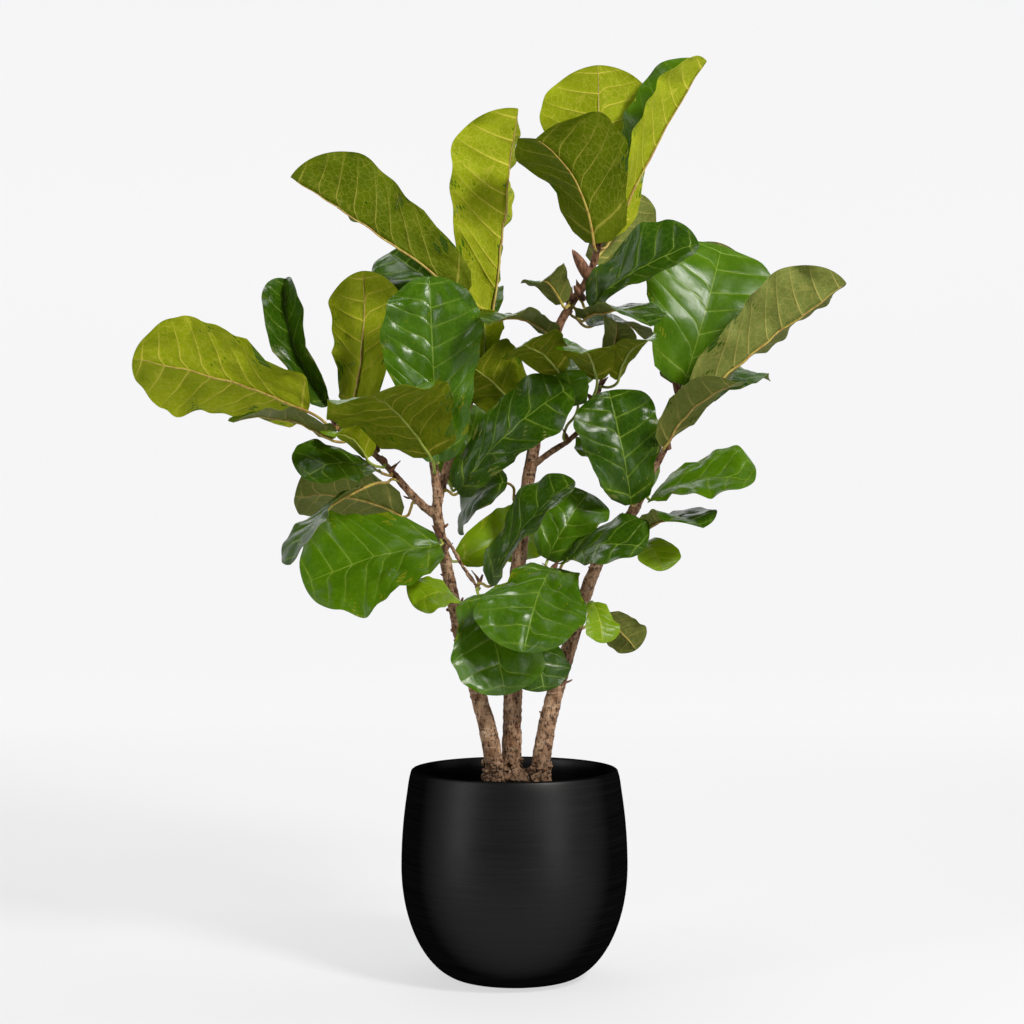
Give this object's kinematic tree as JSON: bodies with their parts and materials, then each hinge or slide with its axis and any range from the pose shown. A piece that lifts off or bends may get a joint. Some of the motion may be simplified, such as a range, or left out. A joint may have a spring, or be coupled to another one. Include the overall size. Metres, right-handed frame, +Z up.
{
  "type": "potted fiddle leaf fig",
  "caption": "Fiddle leaf fig with three woody trunks and large leaves, growing in soil in a round matte black pot that narrows to its foot and rim.",
  "frame": {"origin": "middle of the pot's flat underside", "axes": "+Z up along the pot's axis, -Y towards the side that is seen from the front, +X to the right as seen from the front"},
  "size_m": [1.2409, 0.5809, 1.6348],
  "materials": {
    "pot": "satin black, faint turning lines",
    "soil": "moist, lumpy potting soil",
    "bark": "rough grey-brown bark with dark flecks",
    "leaf": "glossy deep green above, paler below, with raised pale veins"
  },
  "bodies": {
    "root": {"pot": "pot", "soil": "soil", "trunk_left": "bark", "trunk_middle": "bark", "trunk_right": "bark", "leaf_top_back": "leaf", "leaf_top_front": "leaf", "leaf_top_right": "leaf", "leaf_top_edge": "leaf", "leaf_upper_right_fold": "leaf", "leaf_upper_right_low": "leaf", "leaf_upper_wavy_left": "leaf", "leaf_upper_wavy_right": "leaf", "leaf_mid_pale_edge": "leaf", "leaf_mid_small_olive": "leaf", "leaf_mid_left_olive": "leaf", "leaf_mid_back_left": "leaf", "leaf_mid_back_right": "leaf", "leaf_twig_olive_front": "leaf", "leaf_twig_dark_up": "leaf", "leaf_twig_green_right": "leaf", "leaf_twig_small_low": "leaf", "leaf_right_top_front": "leaf", "leaf_right_top_back": "leaf", "leaf_right_top_long": "leaf", "leaf_right_top_dark": "leaf", "leaf_right_olive": "leaf", "leaf_right_upright": "leaf", "leaf_right_flat": "leaf", "leaf_right_edge_low": "leaf", "leaf_right_small_low": "leaf", "leaf_right_inner_dark": "leaf", "leaf_right_back_low": "leaf", "leaf_far_left_pale": "leaf", "leaf_far_left_dark": "leaf", "leaf_far_left_edge": "leaf", "leaf_left_pale_up": "leaf", "leaf_left_curled": "leaf", "leaf_left_dark_small": "leaf", "leaf_left_olive_low": "leaf", "leaf_left_edge_down": "leaf", "leaf_left_back": "leaf", "leaf_left_upright": "leaf", "leaf_left_front_olive": "leaf", "leaf_left_broad": "leaf", "leaf_left_small_yellow": "leaf", "leaf_left_inner_dark": "leaf", "leaf_left_bright": "leaf", "leaf_leader_pale_up": "leaf", "leaf_leader_left": "leaf", "leaf_leader_dark": "leaf", "leaf_leader_yellow": "leaf", "leaf_leader_back": "leaf", "leaf_low_left_up": "leaf", "leaf_low_left_down": "leaf", "leaf_low_front": "leaf", "leaf_low_middle_up": "leaf", "leaf_low_middle_down": "leaf", "leaf_low_right_olive": "leaf", "leaf_low_right_pale": "leaf"}
  },
  "joints": []
}
